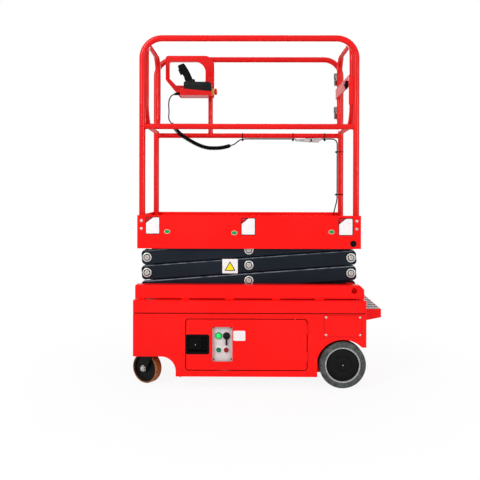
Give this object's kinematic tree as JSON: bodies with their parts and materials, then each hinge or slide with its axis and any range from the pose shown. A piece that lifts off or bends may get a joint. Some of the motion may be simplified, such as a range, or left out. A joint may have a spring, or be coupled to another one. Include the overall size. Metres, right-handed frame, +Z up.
{
  "type": "self-propelled scissor lift",
  "caption": "Compact battery scissor lift with a railed platform on three levels of crossed arms, rear drive wheels and front casters.",
  "frame": {"origin": "on the floor under the middle of the whole machine", "axes": "+X to the rear, where the step and the gate are, +Y to the far side in the picture, +Z up"},
  "size_m": [1.3162, 0.76, 1.8325],
  "materials": {
    "red_paint": "gloss powder coat",
    "arm_paint": "satin powder coat",
    "steel": "zinc plated",
    "black_paint": "satin",
    "rod_chrome": "polished",
    "tyre_rubber": "non-marking, worn",
    "caster_tread": "cast polyurethane",
    "caster_core": "painted",
    "black_plastic": "moulded",
    "battery_case": "moulded",
    "panel_grey": "satin",
    "control_plastic": "moulded",
    "stop_red": "moulded",
    "tread_aluminium": "ribbed",
    "cord_sheath": "extruded",
    "plug_plastic": "moulded"
  },
  "bodies": {
    "chassis": {"chassis_shell": "red_paint", "chassis_top": "red_paint", "track_channels": "red_paint", "base_pivots": "steel", "battery": "battery_case", "drive_units": "black_paint", "caster_plates": "steel", "cover_plates": "red_paint", "panel_box": "panel_grey", "panel_controls": "control_plastic", "step_frame": "red_paint", "step_tread": "tread_aluminium", "door_hinges": "steel"},
    "inner_1": {"inner_arms_1": "arm_paint"},
    "outer_1": {"outer_arms_1": "arm_paint", "outer_pins_1": "steel", "lower_rollers": "steel"},
    "inner_2": {"inner_arms_2": "arm_paint"},
    "outer_2": {"outer_arms_2": "arm_paint", "outer_pins_2": "steel"},
    "inner_3": {"inner_arms_3": "arm_paint", "upper_rollers": "steel"},
    "outer_3": {"outer_arms_3": "arm_paint", "outer_pins_3": "steel"},
    "platform": {"deck": "red_paint", "platform_tracks": "red_paint", "toe_board_near": "red_paint", "toe_board_far": "red_paint", "toe_ends": "red_paint", "rail_near": "red_paint", "rail_far": "red_paint", "front_loop": "red_paint", "gate_hinges": "steel", "control_stand": "red_paint", "controller": "black_plastic", "emergency_stop": "stop_red", "curly_cord": "cord_sheath", "stand_lead": "cord_sheath", "rail_lead": "cord_sheath", "cord_plug": "plug_plastic", "cord_ties": "black_plastic"},
    "gate": {"gate_loop": "red_paint", "gate_bar": "red_paint"},
    "lift_barrel": {"cylinder_barrel": "black_paint"},
    "lift_rod": {"cylinder_rod": "rod_chrome"},
    "drive_wheel_near": {"tyre_near": "tyre_rubber", "rim_near": "black_paint"},
    "caster_swivel_near": {"caster_fork_near": "black_paint"},
    "caster_wheel_near": {"caster_tread_near": "caster_tread", "caster_hub_near": "caster_core"},
    "door_near": {"door_near": "red_paint", "latch_near": "black_plastic"},
    "drive_wheel_far": {"tyre_far": "tyre_rubber", "rim_far": "black_paint"},
    "caster_swivel_far": {"caster_fork_far": "black_paint"},
    "caster_wheel_far": {"caster_tread_far": "caster_tread", "caster_hub_far": "caster_core"},
    "door_far": {"door_far": "red_paint", "latch_far": "black_plastic"}
  },
  "joints": [
    {"name": "lift", "type": "hinge", "parent": "chassis", "child": "inner_1", "pos_m": [0.49108, 0, 0.501], "axis": [0, 1, 0], "range_deg": [0, 44]},
    {"name": "middle_pivot_1", "type": "hinge", "parent": "inner_1", "child": "outer_1", "pos_m": [-0.04392, 0, 0.54125], "axis": [0, 1, 0], "range_deg": [-88.04, 0]},
    {"name": "rear_pivot_2", "type": "hinge", "parent": "outer_1", "child": "inner_2", "pos_m": [0.49108, 0, 0.5815], "axis": [0, 1, 0], "range_deg": [0, 88.04]},
    {"name": "middle_pivot_2", "type": "hinge", "parent": "inner_2", "child": "outer_2", "pos_m": [-0.04392, 0, 0.62175], "axis": [0, 1, 0], "range_deg": [-88.04, 0]},
    {"name": "rear_pivot_3", "type": "hinge", "parent": "outer_2", "child": "inner_3", "pos_m": [0.49108, 0, 0.662], "axis": [0, 1, 0], "range_deg": [0, 88.04]},
    {"name": "middle_pivot_3", "type": "hinge", "parent": "inner_3", "child": "outer_3", "pos_m": [-0.04392, 0, 0.70225], "axis": [0, 1, 0], "range_deg": [-88.04, 0]},
    {"name": "platform_pivot", "type": "hinge", "parent": "outer_3", "child": "platform", "pos_m": [0.49108, 0, 0.7425], "axis": [0, 1, 0], "range_deg": [0, 44.02]},
    {"name": "barrel_pivot", "type": "hinge", "parent": "inner_1", "child": "lift_barrel", "pos_m": [0.39934, 0, 0.5079], "axis": [0, 1, 0], "range_deg": [0, 14.54]},
    {"name": "rod_slide", "type": "slide", "parent": "lift_barrel", "child": "lift_rod", "axis": [-0.9866, 0, 0.1629], "range_m": [0, 0.68139]},
    {"name": "drive_wheel_near", "type": "hinge", "parent": "chassis", "child": "drive_wheel_near", "pos_m": [0.43708, -0.338, 0.12], "axis": [0, 1, 0], "continuous": true},
    {"name": "caster_swivel_near", "type": "hinge", "parent": "chassis", "child": "caster_swivel_near", "pos_m": [-0.55292, -0.285, 0.16], "axis": [0, 0, 1], "continuous": true},
    {"name": "caster_wheel_near", "type": "hinge", "parent": "caster_swivel_near", "child": "caster_wheel_near", "pos_m": [-0.57976, -0.2695, 0.08], "axis": [-0.5, -0.866, 0], "continuous": true},
    {"name": "door_near", "type": "hinge", "parent": "chassis", "child": "door_near", "pos_m": [0.25608, -0.376, 0.225], "axis": [0, 0, 1], "range_deg": [0, 100]},
    {"name": "drive_wheel_far", "type": "hinge", "parent": "chassis", "child": "drive_wheel_far", "pos_m": [0.43708, 0.338, 0.12], "axis": [0, 1, 0], "continuous": true},
    {"name": "caster_swivel_far", "type": "hinge", "parent": "chassis", "child": "caster_swivel_far", "pos_m": [-0.55292, 0.285, 0.16], "axis": [0, 0, 1], "continuous": true},
    {"name": "caster_wheel_far", "type": "hinge", "parent": "caster_swivel_far", "child": "caster_wheel_far", "pos_m": [-0.57976, 0.3005, 0.08], "axis": [-0.5, -0.866, 0], "continuous": true},
    {"name": "door_far", "type": "hinge", "parent": "chassis", "child": "door_far", "pos_m": [0.25608, 0.376, 0.225], "axis": [0, 0, -1], "range_deg": [0, 100]},
    {"name": "gate", "type": "hinge", "parent": "platform", "child": "gate", "pos_m": [0.48108, 0.243, 1.59], "axis": [0, 0, -1], "range_deg": [0, 90]}
  ],
  "couplings": [
    {"joint": "middle_pivot_1", "follows": "lift", "ratio": -2},
    {"joint": "rear_pivot_2", "follows": "lift", "ratio": 2},
    {"joint": "middle_pivot_2", "follows": "lift", "ratio": -2},
    {"joint": "rear_pivot_3", "follows": "lift", "ratio": 2},
    {"joint": "middle_pivot_3", "follows": "lift", "ratio": -2},
    {"joint": "platform_pivot", "follows": "lift", "ratio": 1},
    {"joint": "barrel_pivot", "follows": "lift", "ratio": 0.33026},
    {"joint": "rod_slide", "follows": "lift", "m_per_rad": 0.8864}
  ]
}
